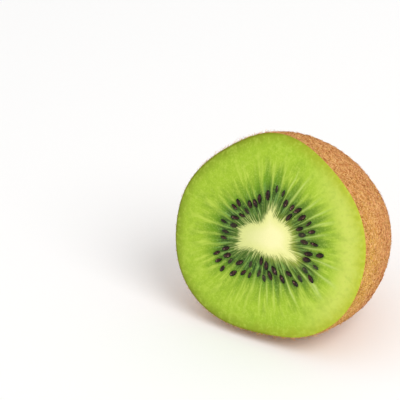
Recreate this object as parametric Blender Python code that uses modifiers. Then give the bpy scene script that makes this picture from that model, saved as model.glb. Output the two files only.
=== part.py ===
"""Half of a kiwi fruit, cut across its middle, resting on its side with the cut face turned up a little.

The fruit's own frame has its axis along Z: the cut face looks up +Z and the stalk end is down at -Z.
An empty lays the half on its side, so that the cut face looks along -Y and the floor is at Z = 0.
Flesh, skin and seeds are one solid. The pale core is the other, and fills a hole in the first.
"""

import math
import random

import bmesh
import bpy
from mathutils import Vector, noise

MM = 0.001

# Driving dimensions of the fruit
MEAN_RADIUS = 26.4 * MM  # of the section at the cut, half of a 53 mm fruit
HALF_LENGTH = 34.1 * MM  # from the cut to the stalk end
FULLNESS = 2.25  # exponent of the side's curve: 2 is an ellipse, more is a barrel
OVAL = (0.045, 6)  # share by which the section is wider than high, and the direction in degrees
THREE_SIDED = (0.0306, 96)  # share by which it bulges at three places, and the direction of one of them
FIVE_SIDED = (0.0097, 22)  # the same for the weaker bulges that give the section its blunt corners
SIX_SIDED = (0.0045, -24)
NOSE_ROUNDING = 0.65  # share of the oval and the bulges that fades away at the stalk end
NOSE_LEAN = (1.7 * MM, 1.1 * MM)  # how far the stalk end lies off the axis
LUMPS = 0.25 * MM  # height of the soft unevenness of the skin
LUMP_SIZE = 15 * MM
CROWN = 1.1 * MM  # how far the cut flesh stands above its rim
CROWN_POWER = 4  # flat in the middle, rounding down near the rim

# The scar where the stalk came off: a woody button in a shallow ring
SCAR_RADIUS = 4.6 * MM
BUTTON_RADIUS = 3.0 * MM
RING_DEPTH = 0.7 * MM
BUTTON_RISE = 0.3 * MM
SCAR_CORNERS = (1.0, 0.88, 0.76, 0.66, 0.6, 0.3, 0.0)  # shares of its radius

# The pale core at the cut: a waist radius, and lobes by direction in degrees, reach and half-width in degrees
CORE_WAIST = 3.8 * MM
CORE_LOBES = (
    (95, 2.7 * MM, 14),
    (186, 4.6 * MM, 42),
    (211, 2.6 * MM, 9),
    (343, 3.6 * MM, 9),
    (22, 3.3 * MM, 75),
)
CORE_ROUND = 6.5 * MM  # radius that its section tends to as the lobes fade
CORE_DEPTH = 25 * MM
CORE_GAP = 0.3 * MM

# Seeds lie in a ring, one or two to each seed chamber round the core
CHAMBERS = 35
CHAMBER_UNEVEN = 0.3  # share of a chamber's width by which its direction varies
SEED_RING = 11.2 * MM
SEED_RING_OVAL = (1.6 * MM, 8)  # reach and direction in degrees
SEED_RING_THREE_SIDED = (1.7 * MM, -27)
SEED_RING_DEPTH = 1.6 * MM  # how far a seed lies inside or outside the ring
PAIR_SHARE = 0.42  # of the chambers that show two seeds
PAIR_APART = (2.3 * MM, 3.4 * MM)
PAIR_TURN = 2  # degrees that a pair leans from the spoke
SEED_SIZE = (2.3 * MM, 1.4 * MM, 1.3 * MM)
SEED_SIZES_VARY = (0.85, 1.1)
SEED_LEAN = 0.35  # greatest turn from the spoke, in radians
SEED_RISE = 0.4 * MM  # how far a seed stands out of the flesh
SEED_TO_CORE = 1.7 * MM  # least distance from a seed's middle to the core
SEED_DRAW = 1348768

# How the half rests
TILT_BACK = math.radians(20)  # of the cut face from upright
REST_FLAT_DEPTH = 0.95 * MM  # how much of the soft underside is pressed flat
FLOOR_THICKNESS = 20 * MM

# Fineness of the solids
STEPS_ROUND = 72
FACE_RINGS = 6
SIDE_RINGS = 17
CORE_STEPS = 72
CORE_RINGS = 7
SEED_SIDES = 6
SEED_RINGS = 4
SHARP_ANGLE = math.radians(14)


def clear_scene():
    for obj in list(bpy.data.objects):
        bpy.data.objects.remove(obj)


def new_collection(name):
    collection = bpy.data.collections.new(name)
    bpy.context.scene.collection.children.link(collection)
    return collection


def new_object(name, data, collection):
    obj = bpy.data.objects.new(name, data)
    collection.objects.link(obj)
    return obj


def move_to(obj, collection):
    for owner in list(obj.users_collection):
        owner.objects.unlink(obj)
    collection.objects.link(obj)


def apply_modifiers(obj):
    """Puts the mesh that the modifiers make in their place."""
    bpy.context.view_layer.update()
    graph = bpy.context.evaluated_depsgraph_get()
    mesh = bpy.data.meshes.new_from_object(obj.evaluated_get(graph))
    obj.modifiers.clear()
    obj.data = mesh


def finish(obj, color, roughness):
    """Gives a piece its material, and smooth shading between its sharp edges."""
    material = bpy.data.materials.new("kiwi_" + obj.name)
    material.use_nodes = True
    shader = material.node_tree.nodes["Principled BSDF"]
    shader.inputs["Base Color"].default_value = (*color, 1)
    shader.inputs["Roughness"].default_value = roughness
    shader.inputs["Metallic"].default_value = 0
    obj.data.materials.clear()
    obj.data.materials.append(material)
    obj.data.shade_smooth()
    obj.data.set_sharp_from_angle(angle=SHARP_ANGLE)


def wave(angle, lobes, reach_and_direction):
    """A reach that comes and goes so many times round the axis. Its direction is in degrees."""
    reach, direction = reach_and_direction
    return reach * math.cos(lobes * (angle - math.radians(direction)))


def crown_height(distance):
    """Height of the cut face at a distance from the axis."""
    return CROWN * (1 - min(distance / MEAN_RADIUS, 1) ** CROWN_POWER)


def side_depth(distance):
    """Depth of the skin below the cut at a distance from the axis."""
    return HALF_LENGTH * (1 - (distance / MEAN_RADIUS) ** FULLNESS) ** (1 / FULLNESS)


def scar_hollow(distance):
    """How far the scar's ring sinks into the stalk end. On the button it is a rise."""
    if distance <= BUTTON_RADIUS:
        return -BUTTON_RISE
    across = (distance - BUTTON_RADIUS) / (SCAR_RADIUS - BUTTON_RADIUS)
    return RING_DEPTH * math.sin(math.pi * across) ** 2


def long_section():
    """Half of the long section: from the middle of the cut face to its rim, and down the skin to the scar."""
    corners = []
    for i in range(FACE_RINGS + 1):
        distance = MEAN_RADIUS * math.sin(math.pi / 2 * i / FACE_RINGS)
        corners.append((distance, 0, crown_height(distance)))
    for i in range(1, SIDE_RINGS):
        distance = MEAN_RADIUS * math.cos(math.pi / 2 * i / SIDE_RINGS) ** (2 / FULLNESS)
        if distance > SCAR_RADIUS:
            corners.append((distance, 0, -side_depth(distance)))
    for share in SCAR_CORNERS:
        distance = SCAR_RADIUS * share
        corners.append((distance, 0, scar_hollow(distance) - side_depth(distance)))
    return corners


def bulge(angle):
    """Share by which the section at the cut reaches beyond its mean radius."""
    long_waves = wave(angle, 2, OVAL) + wave(angle, 3, THREE_SIDED)
    return long_waves + wave(angle, 5, FIVE_SIDED) + wave(angle, 6, SIX_SIDED)


def grow_uneven(mesh):
    """Makes the round body oval, blunt-cornered and lumpy, with its stalk end off the axis."""
    for vertex in mesh.vertices:
        x, y, z = vertex.co
        angle = math.atan2(y, x)
        depth = max(0, min(1, -z / HALF_LENGTH))
        scale = 1 + bulge(angle) * (1 - NOSE_ROUNDING * depth**2)
        lump = LUMPS * noise.noise(vertex.co / LUMP_SIZE) * min(1, math.hypot(x, y) / SCAR_RADIUS)
        vertex.co.x = x * scale + lump * math.cos(angle) + NOSE_LEAN[0] * depth**2
        vertex.co.y = y * scale + lump * math.sin(angle) + NOSE_LEAN[1] * depth**2


def turned_body(collection):
    """The whole half, flesh and skin in one: the long section turned about the axis, then grown uneven."""
    corners = long_section()
    mesh = bpy.data.meshes.new("long_section")
    mesh.from_pydata(corners, [(i, i + 1) for i in range(len(corners) - 1)], [])
    body = new_object("flesh", mesh, collection)
    turn = body.modifiers.new("Turn", "SCREW")
    turn.steps = STEPS_ROUND
    turn.render_steps = STEPS_ROUND
    turn.use_merge_vertices = True
    turn.merge_threshold = 0.01 * MM
    apply_modifiers(body)
    grow_uneven(body.data)
    return body


def core_edge(angle):
    """Distance of the core's edge from the axis, at the cut."""
    reach = CORE_WAIST
    for direction, length, width in CORE_LOBES:
        off = (math.degrees(angle) - direction + 180) % 360 - 180
        reach += length * math.exp(-((off / width) ** 2))
    return reach


def core_section(height, taper, extra):
    """One section of the core, grown outward by extra. The lobes fade as it tapers."""
    corners = []
    for k in range(CORE_STEPS):
        angle = math.tau * k / CORE_STEPS
        radius = taper * (CORE_ROUND + (core_edge(angle) - CORE_ROUND) * taper)
        corners.append(Vector((radius * math.cos(angle), radius * math.sin(angle), height)))
    grown = []
    for k, corner in enumerate(corners):
        along = corners[(k + 1) % CORE_STEPS] - corners[k - 1]
        outward = Vector((along.y, -along.x, 0)).normalized()
        grown.append(corner + outward * extra)
    return grown


def core_mesh(top, extra):
    """The core as a loft of sections from the cut down to a blunt tip, with extra room all round."""
    levels = [(top, 1)]
    for i in range(CORE_RINGS):
        share = i / (CORE_RINGS - 0.6)
        levels.append((-CORE_DEPTH * share, math.sqrt(1 - share**2)))
    build = bmesh.new()
    rings = []
    for height, taper in levels:
        rings.append([build.verts.new(corner) for corner in core_section(height, taper, extra)])
    tip = build.verts.new((0, 0, -CORE_DEPTH - extra))
    build.faces.new(rings[0])
    for upper, lower in zip(rings, rings[1:]):
        for k in range(CORE_STEPS):
            build.faces.new((upper[k], upper[k - 1], lower[k - 1], lower[k]))
    for k in range(CORE_STEPS):
        build.faces.new((rings[-1][k], rings[-1][k - 1], tip))
    bmesh.ops.recalc_face_normals(build, faces=build.faces)
    mesh = bpy.data.meshes.new("core")
    build.to_mesh(mesh)
    build.free()
    return mesh


def seed_ring(angle):
    return SEED_RING + wave(angle, 2, SEED_RING_OVAL) + wave(angle, 3, SEED_RING_THREE_SIDED)


def seed_places():
    """(distance, angle) of each seed."""
    draw = random.Random(SEED_DRAW)
    places = []
    for i in range(CHAMBERS):
        angle = math.tau / CHAMBERS * (i + draw.uniform(-CHAMBER_UNEVEN, CHAMBER_UNEVEN))
        middle = seed_ring(angle)
        shift = draw.uniform(-SEED_RING_DEPTH, SEED_RING_DEPTH)
        if draw.random() < PAIR_SHARE:
            apart = draw.uniform(*PAIR_APART)
            turn = math.radians(draw.uniform(-PAIR_TURN, PAIR_TURN))
            places.append((middle + (shift - apart) / 2, angle - turn))
            places.append((middle + (shift + apart) / 2, angle + turn))
        else:
            places.append((middle + shift, angle))
    return places


def add_seeds(collection):
    """The seeds as small ovals that lie half sunk in the cut face, each pointing to the core."""
    draw = random.Random(SEED_DRAW + 1)
    for distance, angle in seed_places():
        core_near = max(core_edge(angle + off * SEED_SIZE[1] / SEED_RING) for off in (-1, -0.5, 0, 0.5, 1))
        distance = max(distance, core_near + SEED_TO_CORE)
        size = draw.uniform(*SEED_SIZES_VARY)
        height = crown_height(distance) + SEED_RISE - SEED_SIZE[2] / 2
        bpy.ops.mesh.primitive_uv_sphere_add(
            segments=SEED_SIDES,
            ring_count=SEED_RINGS,
            radius=0.5,
            location=(distance * math.cos(angle), distance * math.sin(angle), height),
            rotation=(0, 0, angle + draw.uniform(-SEED_LEAN, SEED_LEAN)),
        )
        seed = bpy.context.object
        seed.name = "seed"
        seed.scale = (SEED_SIZE[0] * size, SEED_SIZE[1] * size, SEED_SIZE[2])
        move_to(seed, collection)


def fuse_seeds(body):
    seeds = new_collection("seeds")
    add_seeds(seeds)
    union = body.modifiers.new("Seeds", "BOOLEAN")
    union.operation = "UNION"
    union.operand_type = "COLLECTION"
    union.collection = seeds
    union.solver = "EXACT"
    apply_modifiers(body)
    for seed in list(seeds.objects):
        bpy.data.objects.remove(seed)
    bpy.data.collections.remove(seeds)


def cut_away(body, cutter, name):
    cutter.hide_render = True
    cutter.display_type = "WIRE"
    cut = body.modifiers.new(name, "BOOLEAN")
    cut.operation = "DIFFERENCE"
    cut.object = cutter
    cut.solver = "EXACT"


def resting_place(body, collection):
    """An empty that lays the half on its side, with the middle of the underside at the origin."""
    rest = new_object("resting_place", None, collection)
    rest.rotation_euler = (math.pi / 2 - TILT_BACK, 0, 0)
    turn = rest.rotation_euler.to_matrix()
    corners = [turn @ vertex.co for vertex in body.data.vertices]
    middle = [(min(c[axis] for c in corners) + max(c[axis] for c in corners)) / 2 for axis in (0, 1)]
    floor = min(corner.z for corner in corners) + REST_FLAT_DEPTH
    rest.location = (-middle[0], -middle[1], -floor)
    return rest


def floor_cutter(collection):
    """A slab under the floor that the half rests on."""
    width = 3 * HALF_LENGTH
    bpy.ops.mesh.primitive_cube_add(size=1, location=(0, 0, -FLOOR_THICKNESS / 2))
    slab = bpy.context.object
    slab.name = "floor_cutter"
    slab.scale = (width, width, FLOOR_THICKNESS)
    move_to(slab, collection)
    return slab


def main():
    clear_scene()
    kiwi = new_collection("kiwi_half")
    cutters = new_collection("cutters")

    body = turned_body(kiwi)
    fuse_seeds(body)
    core = new_object("core", core_mesh(CROWN, 0), kiwi)
    core_room = new_object("core_cutter", core_mesh(4 * CROWN, CORE_GAP), cutters)
    rest = resting_place(body, kiwi)
    for obj in (body, core, core_room):
        obj.parent = rest

    cut_away(body, core_room, "Core room")
    cut_away(body, floor_cutter(cutters), "Press flat")
    apply_modifiers(body)
    finish(body, (0.38, 0.53, 0.06), 0.45)
    finish(core, (0.93, 0.87, 0.42), 0.5)


main()
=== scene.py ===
import math
import random

import bpy
import numpy as np
from mathutils import Matrix, Vector, noise


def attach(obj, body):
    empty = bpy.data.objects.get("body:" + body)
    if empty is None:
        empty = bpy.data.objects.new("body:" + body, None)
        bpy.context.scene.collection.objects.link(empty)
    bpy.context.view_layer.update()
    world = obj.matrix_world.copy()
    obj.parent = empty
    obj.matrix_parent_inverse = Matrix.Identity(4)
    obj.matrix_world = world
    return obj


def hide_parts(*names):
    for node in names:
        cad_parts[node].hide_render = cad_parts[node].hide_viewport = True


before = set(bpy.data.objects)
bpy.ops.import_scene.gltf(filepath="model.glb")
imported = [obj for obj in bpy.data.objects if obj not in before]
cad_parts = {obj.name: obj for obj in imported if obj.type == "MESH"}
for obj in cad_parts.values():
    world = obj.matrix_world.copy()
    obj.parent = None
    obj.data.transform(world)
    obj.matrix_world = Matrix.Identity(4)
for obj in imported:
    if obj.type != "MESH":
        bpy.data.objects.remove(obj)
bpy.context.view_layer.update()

# The resting place of the half.
# The fruit's own frame has its axis along Z with the cut face looking up +Z, and the cut's middle at 0.
# On the floor it lies on its side, with the cut face turned to -Y and leaning back from upright.
MM = 0.001
LEAN_BACK = math.radians(20)
CUT_MIDDLE = Vector((-0.100, -12.889, 25.547)) * MM
LAID_DOWN = Matrix.Translation(CUT_MIDDLE) @ Matrix.Rotation(math.pi / 2 - LEAN_BACK, 4, "X")


# The camera, the floor and the lights.
# A long lens looks down at the half from its front right, as the photo does, on a white table in even
# studio light: a bright surround, and one large soft lamp on the right that warms that side.
VIEW_AZIMUTH = math.radians(32.8)
VIEW_ELEVATION = math.radians(30.1)
VIEW_DISTANCE = 600 * MM
PIXELS_PER_METRE = 4016  # of the photo, at the middle of the cut
PHOTO_SIZE = 400
CUT_MIDDLE_PIXEL = (268.6, 238.4)
SENSOR_WIDTH = 36
LAMP_AZIMUTH = math.radians(75)
LAMP_ELEVATION = math.radians(45)
LAMP_DISTANCE = 1.6
LAMP_SIZE = 1.1
LAMP_POWER = 12.5
LAMP_COLOR = (1.0, 0.98, 0.95)
SURROUND_STRENGTH = 0.76
TABLE_SIZE = 6
TABLE_WHITE = (0.97, 0.97, 0.97, 1)


def towards(azimuth, elevation):
    """The unit vector from the half to a point seen at this azimuth and elevation."""
    level = math.cos(elevation)
    return Vector((math.sin(azimuth) * level, -math.cos(azimuth) * level, math.sin(elevation)))


def add_camera():
    """Aims beside the half, so that the middle of the cut lies at its pixel of the photo."""
    back = towards(VIEW_AZIMUTH, VIEW_ELEVATION)
    right = Vector((math.cos(VIEW_AZIMUTH), math.sin(VIEW_AZIMUTH), 0))
    up = back.cross(right)
    off_right = (CUT_MIDDLE_PIXEL[0] - PHOTO_SIZE / 2) / PIXELS_PER_METRE
    off_down = (CUT_MIDDLE_PIXEL[1] - PHOTO_SIZE / 2) / PIXELS_PER_METRE
    aim = CUT_MIDDLE - right * off_right + up * off_down
    data = bpy.data.cameras.new("camera")
    data.sensor_width = SENSOR_WIDTH
    data.lens = data.sensor_width * PIXELS_PER_METRE * VIEW_DISTANCE / PHOTO_SIZE
    camera = bpy.data.objects.new("camera", data)
    bpy.context.scene.collection.objects.link(camera)
    camera.location = CUT_MIDDLE + back * VIEW_DISTANCE
    behind = (camera.location - aim).normalized()
    level = (right - behind * right.dot(behind)).normalized()
    camera.rotation_euler = Matrix((level, behind.cross(level), behind)).transposed().to_euler()
    bpy.context.scene.camera = camera


def add_lamp():
    data = bpy.data.lights.new("key_lamp", "AREA")
    data.shape = "DISK"
    data.size = LAMP_SIZE
    data.energy = LAMP_POWER
    data.color = LAMP_COLOR
    lamp = bpy.data.objects.new("key_lamp", data)
    bpy.context.scene.collection.objects.link(lamp)
    direction = towards(LAMP_AZIMUTH, LAMP_ELEVATION)
    lamp.location = CUT_MIDDLE + direction * LAMP_DISTANCE
    lamp.rotation_euler = (-direction).to_track_quat("-Z", "Y").to_euler()


add_camera()
add_lamp()

surround = bpy.data.worlds.new("surround")
surround.use_nodes = True
background = surround.node_tree.nodes["Background"]
background.inputs["Color"].default_value = (1, 1, 1, 1)
background.inputs["Strength"].default_value = SURROUND_STRENGTH
bpy.context.scene.world = surround
bpy.context.scene.view_settings.view_transform = "Standard"

bpy.ops.object.select_all(action="DESELECT")
bpy.ops.mesh.primitive_plane_add(size=TABLE_SIZE)
floor = bpy.context.object
floor.name = "floor"
floor_finish = bpy.data.materials.new("white_table")
floor_finish.use_nodes = True
floor_shader = floor_finish.node_tree.nodes["Principled BSDF"]
floor_shader.inputs["Base Color"].default_value = TABLE_WHITE
floor_shader.inputs["Roughness"].default_value = 0.8
floor_shader.inputs["Specular IOR Level"].default_value = 0.1
floor.data.materials.append(floor_finish)


# The flesh: the green fruit under the skin, with the crowned cut face and the hole that the core fills.
# It grows as spokes from the core to the skin, with a seed chamber between each two pale partitions.
# One sheet of quads is wrapped round the axis: up the hole, out over the cut face and down the side.
MEAN_RADIUS = 26.4 * MM
HALF_LENGTH = 34.1 * MM
FULLNESS = 2.25  # the side's roundness: 2 is an ellipse, and more is fuller
OVAL = (0.045, 6)  # each bulge: its share of the radius, and its direction in degrees
THREE_SIDED = (0.0306, 96)
FIVE_SIDED = (0.0097, 22)
SIX_SIDED = (0.0045, -24)
NOSE_ROUNDING = 0.65
NOSE_LEAN = (1.7 * MM, 1.1 * MM)
LUMPS = 0.25 * MM
LUMP_SIZE = 15 * MM
LUMPS_FADE = 4.6 * MM  # they fade this close to the axis
CROWN = 1.1 * MM
CROWN_POWER = 4
EDGE_DROP = 0.12 * MM  # how far the cut's soft edge rounds down at the skin
EDGE_WIDTH = 0.7 * MM
SKIN_THICKNESS = 0.08 * MM
RIM_INSET = 0.02 * MM  # keeps the cut's edge inside the skin
SIDE_INSET = 1.2 * MM  # further down, nobody sees the flesh, and it keeps well inside
FLOOR_GAP = 0.2 * MM
CORE_WAIST = 3.8 * MM
CORE_LOBES = (  # direction in degrees, length, and width in degrees
    (95, 2.7 * MM, 14),
    (186, 4.6 * MM, 42),
    (211, 2.6 * MM, 9),
    (343, 3.6 * MM, 9),
    (22, 3.3 * MM, 75),
)
CORE_ROUND = 6.5 * MM
CORE_DEPTH = 25 * MM
HOLE_WIDER = 0.05 * MM
HOLE_DEEPER = 0.1 * MM
TIP_ROW = 0.4  # of a row, between the deepest ring and the bottom of the hole, and of the core
SPOKE_COLUMNS = 680
FACE_ROWS = 112
HOLE_ROWS = 8
SIDE_ROWS = 18
EVEN_SHARE = 0.35  # of the spokes, spread evenly round the axis. The rest follow the core's edge
SPOKE_SMOOTHING = 81
ROUND_STEPS = 1440
SAME_PLACE = 0.0001 * MM
CREASE = math.radians(50)
CHAMBERS = 35
CHAMBER_UNEVEN = 0.3
CHAMBER_START = 0.1  # this and the next are shares of the way out to the skin
CHAMBER_TIP = (0.45, 0.74)
CHAMBER_TIP_WAVE = 0.07  # chambers reach further out on one side of the fruit
CHAMBER_DARK = (0.75, 1.0)
CHAMBER_LEAN = 0.15
PARTITION_STRENGTH = (0.4, 1.0)
PARTITION_WIDTH = (0.11, 0.19)
PARTITION_END = (0.52, 0.8)
PARTITION_FADE = 0.28
TWIN_SHARE = 0.35  # of the partitions, which split in two on their way out
TWIN_STRENGTH = 0.6
TWIN_OFF = 0.4
TWIN_WIDTH = 0.11
MARKS_DRAW = 7
SWAY = 0.22  # of a chamber's width, to either side
SWAY_AROUND = 6
SWAY_OUT = 3.5
SEED_RING = 11.2 * MM
SEED_RING_OVAL = (1.6 * MM, 8)
SEED_RING_THREE_SIDED = (1.7 * MM, -27)
SEED_RING_DEPTH = 1.6 * MM
PAIR_SHARE = 0.42
PAIR_APART = (2.3 * MM, 3.4 * MM)
PAIR_TURN = 2
SEED_SIZE = (2.7 * MM, 1.4 * MM, 1.3 * MM)
SEED_SIZES_VARY = (0.85, 1.1)
SEED_LEAN = 0.35
SEED_RISE = 0.4 * MM
SEED_TO_CORE = 1.7 * MM
SEED_CLEAR = 1.13  # how far seeds keep apart, in times their own length and width
SEED_PARTING_ROUNDS = 12
SEED_DRAW = 1348768
HOLLOW_LENGTH = 1.5  # in times its width
HOLLOW_REACH = (0.45 * MM, 1.25 * MM)
CHAMBER_SINK = 0.16 * MM
PARTITION_RISE = 0.05 * MM


def wave(angle, lobes, reach_and_direction):
    """A reach that comes and goes so many times round the axis. Its direction is in degrees."""
    reach, direction = reach_and_direction
    return reach * np.cos(lobes * (angle - math.radians(direction)))


def smooth(value, low, high):
    """0 up to low, 1 from high on, and a soft step between them."""
    share = np.clip((value - low) / (high - low), 0, 1)
    return share * share * (3 - 2 * share)


def bump(value, middle, half_width):
    """1 in the middle, and ever less to both sides."""
    return np.exp(-(((value - middle) / half_width) ** 2))


def polar(reach, angle, *height):
    """Points, one to a row, at this reach and angle from the axis, and at this height if one is given."""
    return np.column_stack((reach * np.cos(angle), reach * np.sin(angle), *height))


def swell(angle, depth):
    """How far the section reaches against its mean radius. It grows rounder towards the nose."""
    bulge = wave(angle, 2, OVAL) + wave(angle, 3, THREE_SIDED)
    bulge = bulge + wave(angle, 5, FIVE_SIDED) + wave(angle, 6, SIX_SIDED)
    return 1 + bulge * (1 - NOSE_ROUNDING * depth**2)


def grown(points):
    """Turned points, one to a row, grown uneven as the fruit is."""
    x, y, z = points.T
    angle = np.arctan2(y, x)
    depth = np.clip(-z / HALF_LENGTH, 0, 1)
    lump = np.array([noise.noise(Vector(point) / LUMP_SIZE) for point in points]) * LUMPS
    lump *= np.minimum(1, np.hypot(x, y) / LUMPS_FADE)
    scale = swell(angle, depth)
    return np.stack(
        (
            x * scale + lump * np.cos(angle) + NOSE_LEAN[0] * depth**2,
            y * scale + lump * np.sin(angle) + NOSE_LEAN[1] * depth**2,
            z,
        ),
        axis=1,
    )


def laid(points):
    """Points of the fruit's own frame, moved to where the half lies on the floor."""
    return points @ np.array(LAID_DOWN.to_3x3()).T + np.array(CUT_MIDDLE)


def face_height(x, y):
    """Height of the cut face, which stands highest in the middle."""
    distance = np.hypot(x, y) / swell(np.arctan2(y, x), 0)
    return CROWN * (1 - np.minimum(distance / MEAN_RADIUS, 1) ** CROWN_POWER)


def core_edge(angle):
    """Distance of the core's edge from the axis, at the cut."""
    reach = np.full_like(angle, CORE_WAIST)
    for direction, length, width in CORE_LOBES:
        off = (np.degrees(angle) - direction + 180) % 360 - 180
        reach = reach + length * np.exp(-((off / width) ** 2))
    return reach


def core_side(angle, taper, extra):
    """Distance of the core's side from the axis, where it has tapered to this share, plus an extra."""
    return taper * (CORE_ROUND + (core_edge(angle) - CORE_ROUND) * taper) + extra


def past_core(flat):
    """How far each place on the cut face lies outside the core's edge. Inside it is less than 0."""
    around = np.linspace(0, math.tau, ROUND_STEPS // 2 + 1)[:-1]
    edge = polar(core_edge(around), around)
    gap = np.empty(len(flat))
    batch = 4000  # places at a time, so that the table of distances stays small
    for start in range(0, len(flat), batch):
        off = flat[start : start + batch, None, :] - edge[None, :, :]
        gap[start : start + batch] = np.sqrt((off**2).sum(axis=2).min(axis=1))
    inside = np.hypot(flat[:, 0], flat[:, 1]) < core_edge(np.arctan2(flat[:, 1], flat[:, 0]))
    return np.where(inside, -gap, gap)


def spoke_angles(turn):
    """The angles at which spokes leave the core's edge and meet the skin. turn is 0 to 1, once round.

    Spokes leave the core evenly along its edge, so they stand square to it in its hollows."""
    fine = np.linspace(0, math.tau, 3601)
    edge = core_edge(fine)
    step = np.hypot(np.diff(edge * np.cos(fine)), np.diff(edge * np.sin(fine)))
    window = np.hanning(SPOKE_SMOOTHING)
    half = SPOKE_SMOOTHING // 2
    padded = np.concatenate((step[-half:], step, step[:half]))
    step = np.convolve(padded, window / window.sum(), "valid")
    share = EVEN_SHARE / len(step) + (1 - EVEN_SHARE) * step / step.sum()
    along = np.concatenate(((0,), np.cumsum(share)))
    at_core = np.interp(turn % 1, along / along[-1], fine) + math.tau * np.floor(turn)
    everywhere = np.linspace(0, 1, ROUND_STEPS, endpoint=False)
    lag = np.mean(np.interp(everywhere, along / along[-1], fine) - math.tau * everywhere)
    return at_core, math.tau * turn + lag


def rim_reach(angle):
    """Distance of the skin's outside from the axis, at the cut."""
    around = np.linspace(0, math.tau, ROUND_STEPS + 1)
    ring = grown(polar(MEAN_RADIUS, around, np.zeros_like(around)))
    return np.interp(angle % math.tau, around, np.hypot(ring[:, 0], ring[:, 1]))


def spoke_points(turn, out):
    """Places on the cut face, from the core's edge (out is 0) to the skin (1), and each spoke's length.

    Below 0 they go on in to the axis."""
    at_core, at_rim = spoke_angles(turn)
    inner = polar(core_edge(at_core), at_core)
    outer = polar(rim_reach(at_rim) - RIM_INSET, at_rim)
    out = out[:, None]
    flat = np.where(out < 0, inner * (1 + np.minimum(out, 0)), inner + (outer - inner) * out)
    return flat, np.linalg.norm(outer - inner, axis=1)


def wrapped_grid(name, columns, rows):
    """A sheet of quads, and for each corner how far it is round (0 to 1) and which row it is in."""
    bpy.ops.object.select_all(action="DESELECT")
    bpy.ops.mesh.primitive_grid_add(x_subdivisions=columns, y_subdivisions=rows, size=1)
    sheet = bpy.context.object
    sheet.name = name
    corners = np.empty(len(sheet.data.vertices) * 3, np.float32)
    sheet.data.vertices.foreach_get("co", corners)
    corners = corners.reshape(-1, 3).astype(float)
    turn = np.round((corners[:, 0] + 0.5) * columns) / columns
    row = np.round((corners[:, 1] + 0.5) * rows).astype(int)
    return sheet, turn, row


def set_attribute(mesh, name, values):
    """Stores a value, or a vector, at each corner of the mesh."""
    kind, field = ("FLOAT_VECTOR", "vector") if values.ndim == 2 else ("FLOAT", "value")
    attribute = mesh.attributes.new(name, kind, "POINT")
    attribute.data.foreach_set(field, values.astype(np.float32).ravel())


def pick_only(piece):
    bpy.ops.object.select_all(action="DESELECT")
    piece.select_set(True)
    bpy.context.view_layer.objects.active = piece


def close_sheet(sheet, points):
    """Lays the sheet's corners at these places, and joins its seam and poles."""
    sheet.data.vertices.foreach_set("co", laid(points).astype(np.float32).ravel())
    sheet.data.update()
    pick_only(sheet)
    bpy.ops.object.mode_set(mode="EDIT")
    bpy.ops.mesh.select_all(action="SELECT")
    bpy.ops.mesh.remove_doubles(threshold=SAME_PLACE)
    bpy.ops.mesh.normals_make_consistent(inside=False)
    bpy.ops.object.mode_set(mode="OBJECT")
    bpy.ops.object.shade_smooth_by_angle(angle=CREASE)


def seed_ring(angle):
    """How far from the axis the seeds lie in this direction."""
    return SEED_RING + wave(angle, 2, SEED_RING_OVAL) + wave(angle, 3, SEED_RING_THREE_SIDED)


def draw_chambers():
    """The (distance, angle) of each seed chamber's middle, and of each seed in them."""
    draw = random.Random(SEED_DRAW)
    chambers = []
    seeds = []
    for i in range(CHAMBERS):
        angle = math.tau / CHAMBERS * (i + draw.uniform(-CHAMBER_UNEVEN, CHAMBER_UNEVEN))
        middle = seed_ring(angle)
        chambers.append((middle, angle))
        shift = draw.uniform(-SEED_RING_DEPTH, SEED_RING_DEPTH)
        if draw.random() < PAIR_SHARE:
            apart = draw.uniform(*PAIR_APART)
            turn = math.radians(draw.uniform(-PAIR_TURN, PAIR_TURN))
            seeds.append((middle + (shift - apart) / 2, angle - turn))
            seeds.append((middle + (shift + apart) / 2, angle + turn))
        else:
            seeds.append((middle + shift, angle))
    return chambers, seeds


def clear_of_core(spot):
    """This spot, or one further out where it is closer to the core than a seed can be."""
    off = np.array((-1, -0.5, 0, 0.5, 1)) * SEED_SIZE[1] / SEED_RING
    least = core_edge(math.atan2(spot.y, spot.x) + off).max() + SEED_TO_CORE
    return spot * max(1, least / spot.length)


def part_seeds(spots):
    """Moves seeds apart that would run into each other. Each is long in the direction from the axis."""
    for i in range(1, len(spots)):
        for j in range(i):
            off = spots[i] - spots[j]
            outward = spots[i].normalized()
            along = off.dot(outward)
            aside = off.x * outward.y - off.y * outward.x
            gap = math.hypot(along / SEED_SIZE[0], aside / SEED_SIZE[1]) / SEED_CLEAR
            if gap < 1:
                shift = off * (1 / gap - 1) / 2
                spots[i] = spots[i] + shift
                spots[j] = spots[j] - shift


def seed_spots():
    """Where each seed's middle lies on the cut face: clear of the core and of the other seeds."""
    spots = []
    for distance, angle in draw_chambers()[1]:
        spots.append(Vector((distance * math.cos(angle), distance * math.sin(angle))))
    for _ in range(SEED_PARTING_ROUNDS):
        spots = [clear_of_core(spot) for spot in spots]
        part_seeds(spots)
    return np.array(spots)


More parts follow.
